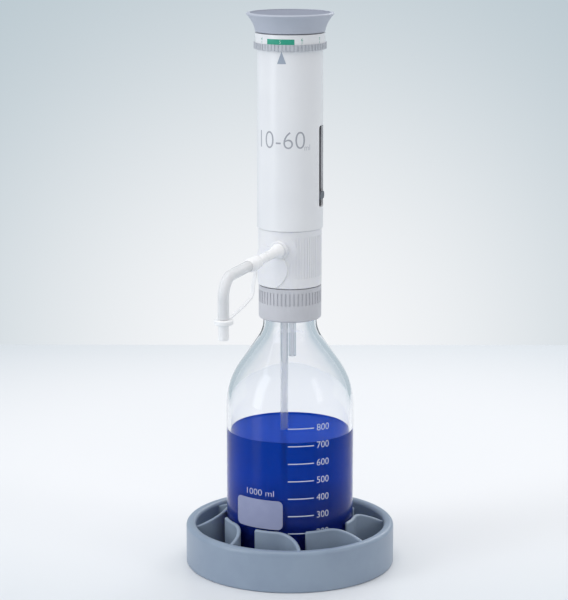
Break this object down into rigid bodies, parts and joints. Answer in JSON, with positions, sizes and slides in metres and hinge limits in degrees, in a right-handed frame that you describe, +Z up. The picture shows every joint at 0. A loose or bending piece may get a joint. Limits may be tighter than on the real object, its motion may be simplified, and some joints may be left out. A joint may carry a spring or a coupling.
{
  "type": "bottle-top dispenser",
  "caption": "Bottle-top dispenser with a flared dial knob, long dosing sleeve, valve block and capped spout, on a clear bottle of blue liquid in a vaned ring holder.",
  "frame": {"origin": "on the bottle's axis at the bench plane under the ring holder", "axes": "+Z up along the bottle's axis, -Y towards the viewer of the picture, +X to the viewer's right"},
  "size_m": [0.1664, 0.2167, 0.4394],
  "materials": {
    "holder_rubber": "satin moulded elastomer",
    "bottle_glass": "clear polished glass",
    "blue_solution": "clear blue liquid",
    "collar_grey": "fine matte",
    "block_white": "translucent satin",
    "sleeve_white": "satin",
    "dial_grey": "fine matte",
    "knob_grey": "fine matte",
    "spout_clear": "milky translucent",
    "cap_white": "translucent satin",
    "cylinder_glass": "polished",
    "piston_white": "machined fluoropolymer",
    "valve_ceramic": "polished ceramic",
    "seal_dark": "moulded",
    "pointer_grey": "fine matte",
    "screw_steel": "turned"
  },
  "bodies": {
    "holder": {"ring_holder": "holder_rubber"},
    "bottle": {"bottle": "bottle_glass", "blue_liquid": "blue_solution"},
    "seat": {"neck_seat": "block_white", "neck_gasket": "piston_white", "intake_tube": "spout_clear", "vent_tube": "spout_clear"},
    "extension": {"tube_extension": "spout_clear"},
    "collar": {"collar_nut": "collar_grey"},
    "head": {"valve_block": "block_white", "swivel_seal": "seal_dark", "inlet_seat": "valve_ceramic", "outlet_seat": "valve_ceramic", "outlet_plug": "block_white", "outlet_nozzle": "cap_white", "union_sleeve": "cap_white", "tether_ring": "cap_white", "discharge_tube": "spout_clear", "cap_tether": "cap_white", "glass_cylinder": "cylinder_glass", "cylinder_guard": "piston_white", "stop_ring": "dial_grey"},
    "inlet_valve": {"inlet_ball": "valve_ceramic"},
    "outlet_valve": {"outlet_ball": "valve_ceramic"},
    "handle": {"dosing_sleeve": "sleeve_white", "head_plate": "sleeve_white", "piston": "piston_white", "piston_seal": "seal_dark", "piston_rod": "screw_steel", "pivot_washer": "screw_steel", "pivot_screw": "screw_steel"},
    "dial": {"palm_knob": "knob_grey", "knob_cover": "knob_grey", "scale_ring": "sleeve_white", "grip_ring": "dial_grey"},
    "screw": {"lead_screw": "screw_steel", "drive_pinion": "pointer_grey"},
    "stop": {"stop_nut": "pointer_grey"},
    "cap": {"spout_cap": "cap_white"}
  },
  "joints": [
    {"name": "bottle_lift", "type": "slide", "parent": "holder", "child": "bottle", "axis": [0, 0, 1], "range_m": [0, 0.08]},
    {"name": "head_lift", "type": "slide", "parent": "bottle", "child": "seat", "axis": [0, 0, 1], "range_m": [0, 0.25]},
    {"name": "tube_reach", "type": "slide", "parent": "seat", "child": "extension", "axis": [0, 0, 1], "range_m": [0, 0.06]},
    {"name": "collar_turn", "type": "hinge", "parent": "seat", "child": "collar", "pos_m": [0, 0, 0.213], "axis": [0, 0, 1], "continuous": true},
    {"name": "head_swivel", "type": "hinge", "parent": "seat", "child": "head", "pos_m": [0, 0, 0.22], "axis": [0, 0, 1], "continuous": true},
    {"name": "inlet_lift", "type": "slide", "parent": "head", "child": "inlet_valve", "axis": [0, 0, 1], "range_m": [0, 0.0015]},
    {"name": "outlet_lift", "type": "slide", "parent": "head", "child": "outlet_valve", "axis": [0, 0, 1], "range_m": [0, 0.0012]},
    {"name": "handle_stroke", "type": "slide", "parent": "head", "child": "handle", "axis": [0, 0, 1], "range_m": [0, 0.06889]},
    {"name": "volume_turn", "type": "hinge", "parent": "handle", "child": "dial", "pos_m": [0, 0, 0.42], "axis": [0, 0, 1], "range_deg": [-1620, 180]},
    {"name": "screw_turn", "type": "hinge", "parent": "handle", "child": "screw", "pos_m": [0.02028, -0.00544, 0.36], "axis": [0, 0, 1], "range_deg": [-12960, 1440]},
    {"name": "stop_slide", "type": "slide", "parent": "handle", "child": "stop", "axis": [0, 0, 1], "range_m": [-0.00574, 0.05167]},
    {"name": "cap_pull", "type": "slide", "parent": "head", "child": "cap", "axis": [0, 0, -1], "range_m": [0, 0.015], "deforming": ["cap_tether"]}
  ],
  "couplings": [
    {"joint": "screw_turn", "follows": "volume_turn", "ratio": 8},
    {"joint": "stop_slide", "follows": "volume_turn", "m_per_rad": -0.0018274}
  ]
}
